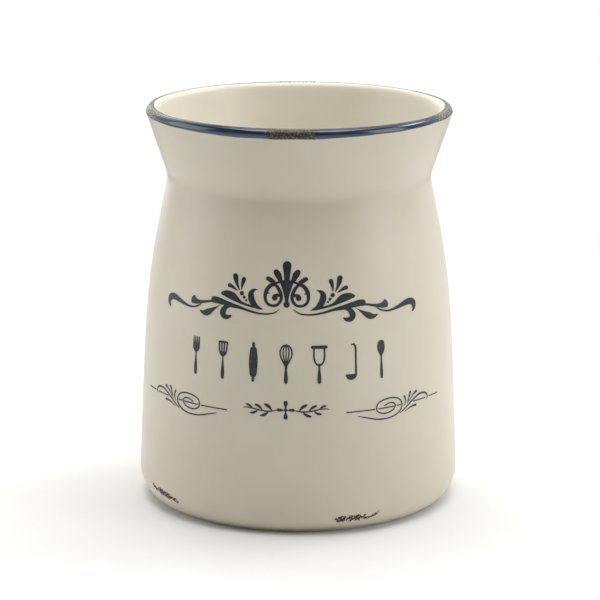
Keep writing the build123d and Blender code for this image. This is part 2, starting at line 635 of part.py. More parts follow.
# Row of chips low on the wall: share along the row, share of the chips' height
CHIP_SHARES = [
    [
        (0, 0.1), (0.02, 0.45), (0.06, 0.7), (0.09, 0.95), (0.12, 0.6), (0.17, 0.75), (0.21, 0.55),
        (0.245, 0.3), (0.24, 0.05), (0.15, 0.12), (0.08, 0.03),
    ],
    [
        (0.27, 0.1), (0.31, 0.45), (0.27, 0.8), (0.31, 0.95), (0.37, 0.85), (0.41, 0.95), (0.43, 0.65),
        (0.47, 0.8), (0.53, 0.9), (0.59, 0.45), (0.585, 0.15), (0.50, 0.05), (0.44, 0.22), (0.37, 0),
    ],
    [
        (0.62, 0.2), (0.61, 0.6), (0.63, 0.95), (0.68, 0.85), (0.69, 0.55), (0.77, 0.45), (0.87, 0.52),
        (0.90, 0.85), (0.985, 0.95), (1.0, 0.6), (0.93, 0.4), (0.84, 0.28), (0.72, 0.1),
    ],
]


def above_place(radius, turn):
    """Place seen from above, at this turn from the front towards the right."""
    return (radius * math.sin(math.radians(turn)), -radius * math.cos(math.radians(turn)))


def rim_mark(turn, length):
    """Ragged mark across the lip, seen from above."""
    half_turn = math.degrees(length / 2 / crest_radius)
    across = crest_radius + lip_round - band_border
    ends = [(band_border + out * across, share * half_turn) for out, share in RIM_WEAR_END_SHARES]
    with BuildLine() as outline:
        Polyline(
            *[above_place(radius, turn + reach) for radius, reach in ends],
            *[above_place(radius, turn - reach) for radius, reach in reversed(ends)],
            close=True,
        )
    make_face(outline.edges())


def chip_row(start, low, climb, side):
    """Row of chips from this place outwards, which climbs by this much."""
    for chip in CHIP_SHARES:
        with BuildLine() as outline:
            Polyline(
                *[
                    front_place(side * (start + along * CHIP_LENGTH), low + along * climb + up * CHIP_HEIGHT)
                    for along, up in chip
                ],
                close=True,
            )
        make_face(outline.edges())


with BuildPart() as rim_wear_marks:
    with BuildSketch(Plane.XY.offset(band_low - OVERRUN)):
        for turn, length_share in RIM_WEAR_SHARES:
            rim_mark(turn, length_share * RIM_WEAR_LENGTH)
    extrude(amount=BAND_DROP + 2 * OVERRUN)
    add(lip_layer.part, mode=Mode.INTERSECT)
rim_wear_marks.part.label = "rim_wear_marks"
export_step(rim_wear_marks.part, "parts/rim_wear_marks.step")


def foot_chips():
    """Both rows of chips near the foot."""
    chip_row(FRONT_WEAR_START, FRONT_WEAR_LOW, 0, 1)
    chip_row(SIDE_WEAR_START, SIDE_WEAR_LOW, SIDE_WEAR_CLIMB, -1)


chips_high = SIDE_WEAR_LOW + SIDE_WEAR_CLIMB + CHIP_HEIGHT
foot_layer = wall_layer(FRONT_WEAR_LOW, chips_high, WEAR_PROUD)
fired_on(foot_layer, "foot_wear_marks", foot_chips)
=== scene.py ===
import json
import math

import bpy
import numpy as np
from mathutils import Matrix, Vector


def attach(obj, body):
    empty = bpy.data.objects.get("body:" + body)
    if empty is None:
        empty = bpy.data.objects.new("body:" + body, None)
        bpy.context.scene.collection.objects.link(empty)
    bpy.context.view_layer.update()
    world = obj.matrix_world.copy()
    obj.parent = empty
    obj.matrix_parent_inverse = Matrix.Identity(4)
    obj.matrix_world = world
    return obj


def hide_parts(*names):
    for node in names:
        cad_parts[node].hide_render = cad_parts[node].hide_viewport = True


# Utensil crock: the looks of a glazed stoneware jar with a navy lip, rubbed wear on the
# lip and near the foot, and a navy print on its front. Metres, +Z up, the front faces -Y.
# A turn is an angle about the axis, from the front towards the right.
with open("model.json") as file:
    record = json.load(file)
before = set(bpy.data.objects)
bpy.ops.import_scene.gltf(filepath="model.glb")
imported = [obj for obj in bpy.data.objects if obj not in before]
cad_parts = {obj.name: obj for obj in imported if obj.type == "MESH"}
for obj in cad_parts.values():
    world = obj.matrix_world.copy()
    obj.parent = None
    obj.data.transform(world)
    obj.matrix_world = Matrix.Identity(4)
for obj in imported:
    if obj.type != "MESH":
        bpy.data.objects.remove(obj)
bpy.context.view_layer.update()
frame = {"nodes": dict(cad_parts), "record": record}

MM = 0.001

# The section, as it is read from the frame's turned nodes
FACING = 0.02                   # a face counts if this part of its normal points the skin's way
SAME_POINT = 0.2 * MM           # points of the section within about this count as one
PRINT_HEIGHT = 90 * MM          # where the wall's radius turns lengths along it into angles

# The coats, as they lie on the ware
COAT = 0.30 * MM                # shown thickness of each coat's shell
MARK_SHELL = 0.05 * MM          # shown thickness of a painted mark's shell
SEAM = 0.002 * MM               # points nearer than this are joined where a sheet closes
TURN_STEPS = 250
WALL_ROWS = 170
UNDERLAP_ROWS = 9
FLOOR_ROWS = 12
BAND_ROWS = 44
BAND_FILM = 0.05 * MM           # how far the navy glaze stands over the cream one
BAND_DIP = 0.5                  # how far the film's edges lie under the cream one, as a share of it
BAND_EDGE = 0.35 * MM           # width over which the film runs out
BAND_UNDERLAP = 2.2 * MM        # cream glaze that runs on under the navy one
BAND_RISE = 0.65 * MM           # lower edge of the band above that of the frame's own band
BAND_SAG = 1.2 * MM             # how far that edge has run down at the front
BAND_TILT = 0.45 * MM           # how much higher that edge lies on the right side
BAND_WAVER = 0.07 * MM          # unsteadiness of the brush

# Rubbed marks on the lip: middle of each, and half its length, in degrees of turn
LIP_MARKS = [(1.8, 9.0), (79.5, 13.0), (186.0, 8.0), (-74.5, 11.5)]
LIP_MARK_PROUD = 0.03 * MM      # how far a mark stands over the navy glaze
LIP_MARK_SUNK = 0.16 * MM       # how far its skin lies under the glaze where nothing is rubbed
LIP_GRAIN = 0.8 * MM            # size of the raggedness of its outline
LIP_MARK_REACH = 1.25           # length of the skin, as a share of the mark's length
LIP_MARK_BELOW = 1.2 * MM       # how far the skin goes on below the frame's own band
LIP_MARK_BEHIND = 0.9 * MM      # how far it goes on past the band's inner edge
LIP_MARK_ROWS = 48
LIP_MARK_COLUMNS = 240
LIP_MARK_FULL = 1.25            # the mark's strength in its middle
LIP_MARK_FOOT = 0.5 * MM        # width over which it grows from the band's lower edge
LIP_MARK_BACK = 0.8 * MM        # width over which it fades out at the band's inner edge
LIP_MARK_OVER = 0.1 * MM        # how far past that edge it reaches
LIP_MARK_ROUGH = (0.5, 0.1, 0.4)    # raggedness of its ends, its lower edge and its inner edge
LIP_MARK_EDGE = (-0.3, 0.25)    # strengths between which its skin rises out of the glaze

# Flecks near the foot, in two rows: inner end from the front along the wall, lower edge, how
# much higher the outer end lies, and side (1 for the right one)
FLECK_ROWS = [(20.0 * MM, 5.0 * MM, 0.0, 1), (49.5 * MM, 6.6 * MM, 1.6 * MM, -1)]
FLECK_LENGTH = 18.5 * MM
FLECK_HEIGHT = 3.4 * MM
FLECK_PROUD = 0.05 * MM         # how far a fleck stands over the cream glaze
FLECK_SUNK = 0.12 * MM          # how far its skin lies under the glaze between the flecks
FLECK_GRAIN = 0.85 * MM         # size of the raggedness of their outlines
FLECK_SEED = 20                 # added to a row's number, so that its roughness is its own
FLECK_SKIN_UP = (-0.35, 1.35)   # lower and upper edge of the skin, as shares of the height
FLECK_SKIN_ALONG = (-0.05, 1.07)    # its two ends, as shares of the length
FLECK_SKIN_ROWS = 60
FLECK_SKIN_COLUMNS = 260
FLECK_FULL = 0.5                # a fleck's greatest strength before it is roughened
FLECK_ROUGH = 0.8               # how much the roughness adds or takes away
FLECK_SPREAD = 0.05             # strength that is added all over
FLECK_EDGE = (-0.12, 0.12)      # strengths between which the skin rises out of the glaze
# Clumps of each row: middle and half length as shares of the row's length, middle and half
# height as shares of its height, and how much of its height each rises over its half length
CLUMP_SHARES = [
    [
        (0.13, 0.13, 0.48, 0.40, 0.05),
        (0.36, 0.09, 0.52, 0.42, 0.0),
        (0.52, 0.10, 0.48, 0.38, 0.0),
        (0.67, 0.035, 0.50, 0.38, 0.0),
        (0.74, 0.09, 0.30, 0.16, 0.1),
        (0.90, 0.10, 0.60, 0.22, 0.25),
    ],
    [
        (0.10, 0.12, 0.38, 0.26, 0.1),
        (0.34, 0.15, 0.48, 0.40, 0.0),
        (0.56, 0.17, 0.54, 0.44, 0.05),
        (0.88, 0.13, 0.58, 0.22, 0.22),
    ],
]

# Waves that make up the roughness of an outline
GRAIN_WAVES = 40
GRAIN_STRETCH = (0.6, 2.2)      # shortest and longest of them, as shares of the grain's size
GRAIN_HEIGHT = 1.6              # a height of 1 is this many times the usual one

# The photographer's camera, as fitted to the rim, the foot and the sides
CAMERA_DISTANCE = 1173.9 * MM
CAMERA_AIM = 84.6 * MM          # height of the point on the axis that it looks at
CAMERA_ELEVATION = 13.355       # degrees
CAMERA_TURN = 4.45              # degrees from the front towards the right
CAMERA_ROLL = 0.2               # degrees
CAMERA_FOCUS = 2719.7           # focal length in pixels of the 600 pixel wide photo
CAMERA_ASIDE = 1.27             # pixels by which the axis lies left of the middle
CAMERA_NEAR = 0.05
CAMERA_FAR = 20
PHOTO_WIDTH = 600
SENSOR = 36.0

# The studio: a round white card, and lamps by their turn and rise in degrees, distance,
# width, height, power in watts and colour
CARD_RADIUS = 0.5
CARD_SIDES = 96
LAMP_AIM = 80 * MM              # height of the point on the axis that they face
LAMPS = [
    ("top_softbox", 0, 90, 1.1, 1.0, 1.0, 12.2, "#FFFDF6"),
    ("left_softbox", -87, 18, 1.0, 0.7, 0.8, 2.9, "#F8FBFF"),
    ("back_left_softbox", -150, 18, 1.0, 0.4, 0.8, 1.8, "#F8FBFF"),
    ("right_softbox", 72, 20, 1.0, 0.5, 0.8, 2.8, "#F8FBFF"),
    ("back_right_softbox", 118, 42, 1.0, 0.5, 0.2, 2.0, "#F8FBFF"),
]

# Light that the room sends back. Each reach gives the part of a direction, to the right,
# backwards or up, at which that light starts and the one at which it is full.
BACK_WALL_LIGHT = 0.75
BACK_WALL_REACH = (0, 0.7)
RIGHT_WALL_LIGHT = 0.1
RIGHT_WALL_REACH = (0.2, 0.9)
HORIZON = 0.02                  # half the height over which walls and table change places
TABLE_LIGHT = 1.0
NEAR_TABLE_SHARE = 0.15         # how much of it the table gives close to the card
FAR_TABLE_REACH = (-0.26, -0.16)


def read(items, key, width, kind):
    """One property of all vertices or faces, as an array with this many columns."""
    values = np.empty(len(items) * width, kind)
    items.foreach_get(key, values)
    return values.reshape(-1, width)


def skin(node, side):
    """Points (radius, height) of one skin of a turned node, from its foot up.

    side is 1 for the skin that faces away from the axis and -1 for the one that faces it.
    """
    mesh = frame["nodes"][node].data
    places = read(mesh.vertices, "co", 3, np.float32).astype(float)
    corners = read(mesh.polygons, "vertices", 3, np.int32)
    normals = read(mesh.polygons, "normal", 3, np.float32)
    middles = places[corners].mean(axis=1)[:, :2]
    outwards = middles / np.linalg.norm(middles, axis=1, keepdims=True)
    faces = (normals[:, :2] * outwards).sum(axis=1) * side > FACING
    chosen = places[np.unique(corners[faces])]
    points = np.column_stack([np.hypot(chosen[:, 0], chosen[:, 1]), chosen[:, 2]])
    _, first = np.unique(np.round(points / SAME_POINT), axis=0, return_index=True)
    points = points[first]
    return points[np.argsort(points[:, 1])]


# One line along the whole section: up the outside, over the lip, down the inside and
# across the floor to the axis. The cream glaze ends, and the band starts, at band_start.
outside = skin("outer_glaze", 1)
lip = skin("rim_band", 1)[1:]
inside = skin("inner_glaze", -1)[::-1]
floor_height = inside[-1, 1]
ware_line = np.concatenate([outside, lip, inside, [(0.0, floor_height)]])
travel = np.concatenate([[0], np.cumsum(np.linalg.norm(np.diff(ware_line, axis=0), axis=1))])
band_start = travel[len(outside) - 1]
band_end = travel[len(outside) + len(lip)]
line_end = travel[-1]
band_radius = lip[-1, 0]
wall_radius = np.interp(PRINT_HEIGHT, outside[:, 1], outside[:, 0])

# All round the axis, the seam at the back
full_turn = np.linspace(-math.pi, math.pi, TURN_STEPS + 1)


def on_line(distance, proud=0.0):
    """Radius and height on the ware line at these distances from its foot.

    A cubic runs through the line's points, with the slope of the chord between each
    one's neighbours. proud moves the place off the surface, square to the line.
    """
    slopes = np.gradient(ware_line, travel, axis=0)
    index = np.clip(np.searchsorted(travel, distance) - 1, 0, len(travel) - 2)
    reach = travel[index + 1] - travel[index]
    t = ((distance - travel[index]) / reach)[..., None]
    start, end = ware_line[index], ware_line[index + 1]
    start_slope = slopes[index] * reach[..., None]
    end_slope = slopes[index + 1] * reach[..., None]
    place = (
        (2 * t**3 - 3 * t**2 + 1) * start
        + (t**3 - 2 * t**2 + t) * start_slope
        + (3 * t**2 - 2 * t**3) * end
        + (t**3 - t**2) * end_slope
    )
    way = slopes[index] * (1 - t) + slopes[index + 1] * t
    way /= np.linalg.norm(way, axis=-1, keepdims=True)
    square = np.stack([way[..., 1], -way[..., 0]], axis=-1)
    place = place + square * np.asarray(proud)[..., None]
    return place[..., 0], place[..., 1]


def ease(value, low, high):
    """Smooth step from 0 at low to 1 at high."""
    t = np.clip((value - low) / (high - low), 0, 1)
    return t * t * (3 - 2 * t)


def grain(across, up, size, seed):
    """Even roughness from -1 to 1 or so: waves of about this size in all directions."""
    dice = np.random.default_rng(seed)
    shortest, longest = GRAIN_STRETCH
    draws = dice.uniform((0, 0, shortest), (math.pi, math.tau, longest), (GRAIN_WAVES, 3))
    total = np.zeros_like(across)
    for angle, phase, stretch in draws:
        way = across * math.cos(angle) + up * math.sin(angle)
        total += np.sin(way * math.tau / (size * stretch) + phase)
    return total / math.sqrt(GRAIN_WAVES / 2) / GRAIN_HEIGHT


def laid(name, material, radius, height, turn, uv=None, thickness=COAT):
    """Sheet with a grid of points, given by their radius, height and turn in radians.

    Rows run along the section line and columns round the axis, so that faces point
    outwards. A sheet that goes right round is closed, a row on the axis becomes one
    point, and a back is laid behind the sheet, this thick.
    """
    rows, columns = radius.shape
    places = np.stack([radius * np.sin(turn), -radius * np.cos(turn), height], axis=-1)
    index = np.arange(rows * columns).reshape(rows, columns)
    quads = np.stack([index[:-1, :-1], index[:-1, 1:], index[1:, 1:], index[1:, :-1]], axis=-1)
    mesh = bpy.data.meshes.new(name)
    mesh.from_pydata(places.reshape(-1, 3), [], quads.reshape(-1, 4))
    if uv is not None:
        corners = read(mesh.loops, "vertex_index", 1, np.int32)[:, 0]
        values = np.stack(uv, axis=-1).reshape(-1, 2)[corners]
        mesh.uv_layers.new(name="UVMap").data.foreach_set("uv", values.ravel())
    piece = bpy.data.objects.new(name, mesh)
    bpy.context.scene.collection.objects.link(piece)
    bpy.context.view_layer.objects.active = piece
    seam = piece.modifiers.new("seam", "WELD")
    seam.merge_threshold = SEAM
    back = piece.modifiers.new("back", "SOLIDIFY")
    back.thickness = thickness
    back.offset = -1
    depsgraph = bpy.context.evaluated_depsgraph_get()
    finished = bpy.data.meshes.new_from_object(piece.evaluated_get(depsgraph))
    piece.modifiers.clear()
    piece.data = finished
    finished.name = name
    bpy.data.meshes.remove(mesh)
    finished.shade_smooth()
    finished.materials.append(material)
    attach(piece, "root")
    return piece


def linear(hex_colour):
    """An sRGB colour such as #E7DCC7 as linear red, green, blue and full alpha."""
    parts = [int(hex_colour[place:place + 2], 16) / 255 for place in (1, 3, 5)]
    return [part / 12.92 if part <= 0.04045 else ((part + 0.055) / 1.055) ** 2.4 for part in parts] + [1]


def add(tree, kind, sockets, output=0, **settings):
    """Add one node with its settings, and give back one of its output sockets.

    sockets names each input socket and its value, or the output socket that feeds it.
    """
    made = tree.nodes.new(kind)
    for name, value in settings.items():
        setattr(made, name, value)
    for name, value in sockets.items():
        if isinstance(value, bpy.types.NodeSocket):
            tree.links.new(value, made.inputs[name])
        else:
            made.inputs[name].default_value = value
    return made.outputs[output] if made.outputs else None


# The Mix node's input sockets for colours, and its output socket
SHARE, FIRST, SECOND, BLEND = 0, 6, 7, 2


def new_finish(name, **values):
    """A material with these values on its shader: (material, tree, shader)."""
    material = bpy.data.materials.new(name)
    material.use_nodes = True
    shader = material.node_tree.nodes["Principled BSDF"]
    for socket, value in values.items():
        shader.inputs[socket.replace("_", " ")].default_value = value
    return material, material.node_tree, shader


def cream_glaze(name, thick, thin):
    """Tin-white stoneware glaze: semi-gloss, a little warmer where it runs thin over the clay."""
    material, tree, shader = new_finish(name, IOR=1.52)
    place = add(tree, "ShaderNodeTexCoord", {}, "Object")
    pool = add(tree, "ShaderNodeTexNoise", {"Vector": place, "Scale": 1 / (42 * MM), "Detail": 5})
    pool = add(tree, "ShaderNodeMapRange", {"Value": pool, "From Min": 0.35, "From Max": 0.65})
    shades = {SHARE: pool, FIRST: linear(thick), SECOND: linear(thin)}
    colour = add(tree, "ShaderNodeMix", shades, BLEND, data_type="RGBA")
    tree.links.new(colour, shader.inputs["Base Color"])
    gloss = add(tree, "ShaderNodeTexNoise", {"Vector": place, "Scale": 1 / (9 * MM), "Detail": 2})
    limits = {"Value": gloss, "From Min": 0.3, "From Max": 0.7, "To Min": 0.34, "To Max": 0.42}
    tree.links.new(add(tree, "ShaderNodeMapRange", limits), shader.inputs["Roughness"])
    ripple = add(tree, "ShaderNodeTexNoise", {"Vector": place, "Scale": 1 / (5 * MM), "Detail": 1})
    relief = add(tree, "ShaderNodeBump", {"Height": ripple, "Distance": 0.03 * MM})
    tree.links.new(relief, shader.inputs["Normal"])
    return material


def navy_glaze():
    """Cobalt glaze laid on with a brush: glossy, streaked along the lip, pale at its thin lower edge."""
    material, tree, shader = new_finish("brushed_navy_glaze", Roughness=0.16, IOR=1.75)
    along = add(tree, "ShaderNodeTexCoord", {}, "UV")
    drawn_out = {"Vector": along, "Scale": (1 / (14 * MM), 1 / (0.7 * MM), 1)}
    drawn_out = add(tree, "ShaderNodeMapping", drawn_out)
    streak = add(tree, "ShaderNodeTexNoise", {"Vector": drawn_out, "Scale": 1, "Detail": 3})
    body = add(tree, "ShaderNodeMapRange", {"Value": streak, "From Min": 0.35, "From Max": 0.7})
    shades = {SHARE: body, FIRST: linear("#202D43"), SECOND: linear("#304059")}
    colour = add(tree, "ShaderNodeMix", shades, BLEND, data_type="RGBA")
    across = add(tree, "ShaderNodeSeparateXYZ", {"Vector": along}, "Y")
    thin = add(tree, "ShaderNodeMapRange", {"Value": across, "From Min": 0.35 * MM, "From Max": 0})
    shades = {SHARE: thin, FIRST: colour, SECOND: linear("#6C7A93")}
    colour = add(tree, "ShaderNodeMix", shades, BLEND, data_type="RGBA")
    tree.links.new(colour, shader.inputs["Base Color"])
    relief = add(tree, "ShaderNodeBump", {"Height": streak, "Distance": 0.02 * MM})
    tree.links.new(relief, shader.inputs["Normal"])
    return material


def rubbed_lip(name, speckle, low, high):
    """Iron wash sponged over the lip: satin, olive on the crest, near black lower down, speckled.

    The speckles begin to show where their pattern passes low and are full at high.
    """
    material, tree, shader = new_finish(name, Roughness=0.5)
    place = add(tree, "ShaderNodeTexCoord", {}, "Object")
    along = add(tree, "ShaderNodeTexCoord", {}, "UV")
    up = add(tree, "ShaderNodeSeparateXYZ", {"Vector": along}, "Y")
    crest = add(tree, "ShaderNodeMapRange", {"Value": up, "From Min": 2.2 * MM, "From Max": 4.6 * MM})
    sponge = {"Vector": place, "Scale": 1 / (1.3 * MM), "Detail": 3, "Roughness": 0.7}
    sponge = add(tree, "ShaderNodeTexNoise", sponge)
    sponge = add(tree, "ShaderNodeMapRange", {"Value": sponge, "From Min": 0.4, "From Max": 0.62})
    shades = {SHARE: sponge, FIRST: linear("#1E1D1B"), SECOND: linear("#3A342A")}
    dark = add(tree, "ShaderNodeMix", shades, BLEND, data_type="RGBA")
    shades = {SHARE: sponge, FIRST: linear("#4C4738"), SECOND: linear("#7C725B")}
    light = add(tree, "ShaderNodeMix", shades, BLEND, data_type="RGBA")
    shades = {SHARE: crest, FIRST: dark, SECOND: light}
    colour = add(tree, "ShaderNodeMix", shades, BLEND, data_type="RGBA")
    fleck = add(tree, "ShaderNodeTexNoise", {"Vector": place, "Scale": 1 / (0.5 * MM), "Detail": 2})
    rubbed = add(tree, "ShaderNodeMapRange", {"Value": fleck, "From Min": low, "From Max": high})
    shades = {SHARE: rubbed, FIRST: colour, SECOND: linear(speckle)}
    colour = add(tree, "ShaderNodeMix", shades, BLEND, data_type="RGBA")
    tree.links.new(colour, shader.inputs["Base Color"])
    relief = add(tree, "ShaderNodeBump", {"Height": fleck, "Distance": 0.05 * MM})
    tree.links.new(relief, shader.inputs["Normal"])
    return material


def chipped_foot():
    """Iron wash dabbed on in flecks: nearly matt, dark brown, rusty where it is thin."""
    material, tree, shader = new_finish("dabbed_iron_wash", Roughness=0.55, Specular_IOR_Level=0.3)
    place = add(tree, "ShaderNodeTexCoord", {}, "Object")
    dab = add(tree, "ShaderNodeTexNoise", {"Vector": place, "Scale": 1 / (0.8 * MM), "Detail": 3})
    dab = add(tree, "ShaderNodeMapRange", {"Value": dab, "From Min": 0.42, "From Max": 0.62})
    shades = {SHARE: dab, FIRST: linear("#24160B"), SECOND: linear("#57402A")}
    colour = add(tree, "ShaderNodeMix", shades, BLEND, data_type="RGBA")
    tree.links.new(colour, shader.inputs["Base Color"])
    relief = add(tree, "ShaderNodeBump", {"Height": dab, "Distance": 0.04 * MM})
    tree.links.new(relief, shader.inputs["Normal"])
    return material


def print_ink():
    """Ceramic transfer in navy: satin, faintly mottled where the film was thin, a few pinholes."""
    material, tree, shader = new_finish("fired_navy_transfer", Roughness=0.42)
    place = add(tree, "ShaderNodeTexCoord", {}, "Object")
    film = add(tree, "ShaderNodeTexNoise", {"Vector": place, "Scale": 1 / (6 * MM), "Detail": 2})
    film = add(tree, "ShaderNodeMapRange", {"Value": film, "From Min": 0.35, "From Max": 0.7})
    shades = {SHARE: film, FIRST: linear("#1E2127"), SECOND: linear("#282A30")}
    colour = add(tree, "ShaderNodeMix", shades, BLEND, data_type="RGBA")
    # Real pinholes are finer, and are drawn coarser so that they show
    pin = add(tree, "ShaderNodeTexNoise", {"Vector": place, "Scale": 1 / (0.6 * MM), "Detail": 0})
    pin = add(tree, "ShaderNodeMapRange", {"Value": pin, "From Min": 0.74, "From Max": 0.82})
    shades = {SHARE: pin, FIRST: colour, SECOND: linear("#6F6E68")}
    colour = add(tree, "ShaderNodeMix", shades, BLEND, data_type="RGBA")
    tree.links.new(colour, shader.inputs["Base Color"])
    relief = add(tree, "ShaderNodeBump", {"Height": film, "Distance": 0.01 * MM})
    tree.links.new(relief, shader.inputs["Normal"])
    return material


def bare_clay():
    """Fired stoneware clay, sponged: matt, with fine grog in it, drawn paler than its buff as painted
    light that lifts the shade under the foot.
    """
    material, tree, shader = new_finish("sponged_stoneware_clay", Roughness=0.85)
    place = add(tree, "ShaderNodeTexCoord", {}, "Object")
    flash = add(tree, "ShaderNodeTexNoise", {"Vector": place, "Scale": 1 / (12 * MM), "Detail": 4})
    flash = add(tree, "ShaderNodeMapRange", {"Value": flash, "From Min": 0.3, "From Max": 0.7})
    # Both shades are drawn paler than the clay, as painted light that lifts the shade in the crevice
    # between the foot and the card
    shades = {SHARE: flash, FIRST: linear("#EDE5D6"), SECOND: linear("#E0D5C0")}
    colour = add(tree, "ShaderNodeMix", shades, BLEND, data_type="RGBA")
    # Fine grog is a little smaller, and is drawn coarser so that it shows
    grog = add(tree, "ShaderNodeTexNoise", {"Vector": place, "Scale": 1 / (0.6 * MM), "Detail": 1})
    grains = add(tree, "ShaderNodeMapRange", {"Value": grog, "From Min": 0.68, "From Max": 0.75})
    shades = {SHARE: grains, FIRST: colour, SECOND: linear("#B29F80")}
    colour = add(tree, "ShaderNodeMix", shades, BLEND, data_type="RGBA")
    tree.links.new(colour, shader.inputs["Base Color"])
    relief = add(tree, "ShaderNodeBump", {"Height": grog, "Distance": 0.05 * MM})
    tree.links.new(relief, shader.inputs["Normal"])
    return material


def studio_card():
    """Matt white card under the crock, with the faint tooth of its surface."""
    material, tree, shader = new_finish("matt_white_card", Roughness=0.9, Specular_IOR_Level=0.1)
    place = add(tree, "ShaderNodeTexCoord", {}, "Object")
    # The tooth of real card is finer, and is drawn coarser so that it shows
    tooth = add(tree, "ShaderNodeTexNoise", {"Vector": place, "Scale": 1 / (2 * MM), "Detail": 2})
    shades = {SHARE: tooth, FIRST: linear("#F5F5F7"), SECOND: linear("#F1F1F3")}
    colour = add(tree, "ShaderNodeMix", shades, BLEND, data_type="RGBA")
    tree.links.new(colour, shader.inputs["Base Color"])
    return material


def outer_wall(glaze):
    """Cream glaze outside: the ware line turned about the axis, from the foot up to under the band."""
    wall = np.linspace(0, band_start, WALL_ROWS)
    under = np.linspace(band_start, band_start + BAND_UNDERLAP, UNDERLAP_ROWS)[1:]
    distance, turn = np.meshgrid(np.concatenate([wall, under]), full_turn, indexing="ij")
    piece = laid("outer_wall", glaze, *on_line(distance), turn)
    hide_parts("outer_glaze")


def inner_wall(glaze):
    """Cream glaze inside: the same line turned, from under the band down to the axis."""
    above = band_end - BAND_UNDERLAP / 2
    wall = np.linspace(above, line_end - inside[-1, 0], WALL_ROWS)
    floor = np.linspace(wall[-1], line_end, FLOOR_ROWS)[1:]
    distance, turn = np.meshgrid(np.concatenate([wall, floor]), full_turn, indexing="ij")
    radius, height = on_line(distance)
    height = np.maximum(height, floor_height)
    piece = laid("inner_wall", glaze, radius, height, turn)
    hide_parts("inner_glaze")


def band_foot(turn):
    """Lower edge of the band on the ware line: tilted, sagging at the front, wavering."""
    sag = BAND_SAG * np.maximum(np.cos(turn), 0) ** 4
    waver = BAND_WAVER * (np.sin(5 * turn + 1) + np.sin(11 * turn + 2) + 0.7 * np.sin(23 * turn))
    return band_start + BAND_RISE - sag + BAND_TILT * np.sin(turn) + waver


def lip_band():
    """Navy glaze: the line over the lip between two wavering edges, a film that runs out at both.

    The film's height follows a smooth step from each edge, where it lies under the cream
    glaze, up to its full height.
    """
    share, turn = np.meshgrid(np.linspace(0, 1, BAND_ROWS), full_turn, indexing="ij")
    low = band_foot(turn)
    high = band_end + BAND_WAVER * (np.sin(4 * turn) + np.sin(9 * turn + 1))
    distance = low + (high - low) * share
    from_edge = np.minimum(distance - low, high - distance)
    film = BAND_FILM * ((1 + BAND_DIP) * ease(from_edge, 0, BAND_EDGE) - BAND_DIP)
    uv = (turn * band_radius, distance - low)
    piece = laid("lip_band", navy_glaze(), *on_line(distance, film), turn, uv=uv)
    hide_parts("rim_band")


def lip_marks():
    """Rubbed marks: a skin over the band that stands proud where the wear is and dips under it elsewhere.

    The mark's strength is the least of three: a parabola along the lip about its middle, a
    ramp up from the band's lower edge, and a ramp down at its inner edge. Each is roughened.
    """
    ochre = rubbed_lip("ochre_iron_wash", "#948A6E", 0.54, 0.66)
    chalky = rubbed_lip("chalky_iron_wash", "#C6C3BB", 0.52, 0.62)
    ends_rough, foot_rough, back_rough = LIP_MARK_ROUGH
    rows = np.linspace(band_start - LIP_MARK_BELOW, band_end + LIP_MARK_BEHIND, LIP_MARK_ROWS)
    for number, (middle, half) in enumerate(LIP_MARKS, 1):
        wash = ochre if number % 2 else chalky
        ends = middle - half * LIP_MARK_REACH, middle + half * LIP_MARK_REACH
        turns = np.radians(np.linspace(*ends, LIP_MARK_COLUMNS))
        distance, turn = np.meshgrid(rows, turns, indexing="ij")
        around = turn * band_radius
        rough = grain(around, distance, LIP_GRAIN, number)
        aside = (np.degrees(turn) - middle) / half
        along = LIP_MARK_FULL - LIP_MARK_FULL * aside**2 + ends_rough * rough
        below = (distance - band_foot(turn)) / LIP_MARK_FOOT + foot_rough * rough
        behind = (band_end - distance + LIP_MARK_OVER) / LIP_MARK_BACK + back_rough * rough
        strength = np.minimum(np.minimum(along, below), behind)
        dip = (LIP_MARK_PROUD + LIP_MARK_SUNK) * (1 - ease(strength, *LIP_MARK_EDGE))
        radius, height = on_line(distance, BAND_FILM + LIP_MARK_PROUD - dip)
        uv = (around, distance - band_start)
        piece = laid(f"lip_wear_{number}", wash, radius, height, turn, uv, MARK_SHELL)
        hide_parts("rim_wear_marks")


def foot_flecks():
    """Flecks near the foot: a skin on the wall that stands proud inside the ragged clumps.

    A clump's strength is 1 less the squares of the shares of its half length and of its
    half height that a place lies off its middle. The strongest clump counts, roughened.
    """
    wash = chipped_foot()
    for number, (row, clumps) in enumerate(zip(FLECK_ROWS, CLUMP_SHARES), 1):
        start, low, climb, side = row
        up_rows = np.linspace(*FLECK_SKIN_UP, FLECK_SKIN_ROWS)
        along_rows = np.linspace(*FLECK_SKIN_ALONG, FLECK_SKIN_COLUMNS)[::side]
        up, along = np.meshgrid(up_rows, along_rows, indexing="ij")
        lift = low + climb * along + FLECK_HEIGHT * up
        turn = side * (start + along * FLECK_LENGTH) / wall_radius
        strongest = np.full_like(up, -2)
        for middle, half, rise, half_rise, tilt in clumps:
            aside = (along - middle) / half
            off = (up - rise - aside * tilt) / half_rise
            strongest = np.maximum(strongest, 1 - aside**2 - off**2)
        rough = grain(along * FLECK_LENGTH, up * FLECK_HEIGHT, FLECK_GRAIN, FLECK_SEED + number)
        strength = np.minimum(strongest, FLECK_FULL) + FLECK_ROUGH * rough + FLECK_SPREAD
        dip = (FLECK_PROUD + FLECK_SUNK) * (1 - ease(strength, *FLECK_EDGE))
        distance = np.interp(lift, outside[:, 1], travel[:len(outside)])
        radius, height = on_line(distance, FLECK_PROUD - dip)
        piece = laid(f"foot_flecks_{number}", wash, radius, height, turn, thickness=MARK_SHELL)
        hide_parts("foot_wear_marks")


def carried_over(material, *nodes):
    """CAD nodes that keep their own shape get their finish."""
    for node in nodes:
        mesh = frame["nodes"][node].data
        mesh.materials.clear()
        mesh.materials.append(material)


def direction(turn, rise):
    """Unit vector turned to the right of the front and raised, both in degrees."""
    turn, rise = math.radians(turn), math.radians(rise)
    return Vector((math.sin(turn) * math.cos(rise), -math.cos(turn) * math.cos(rise), math.sin(rise)))


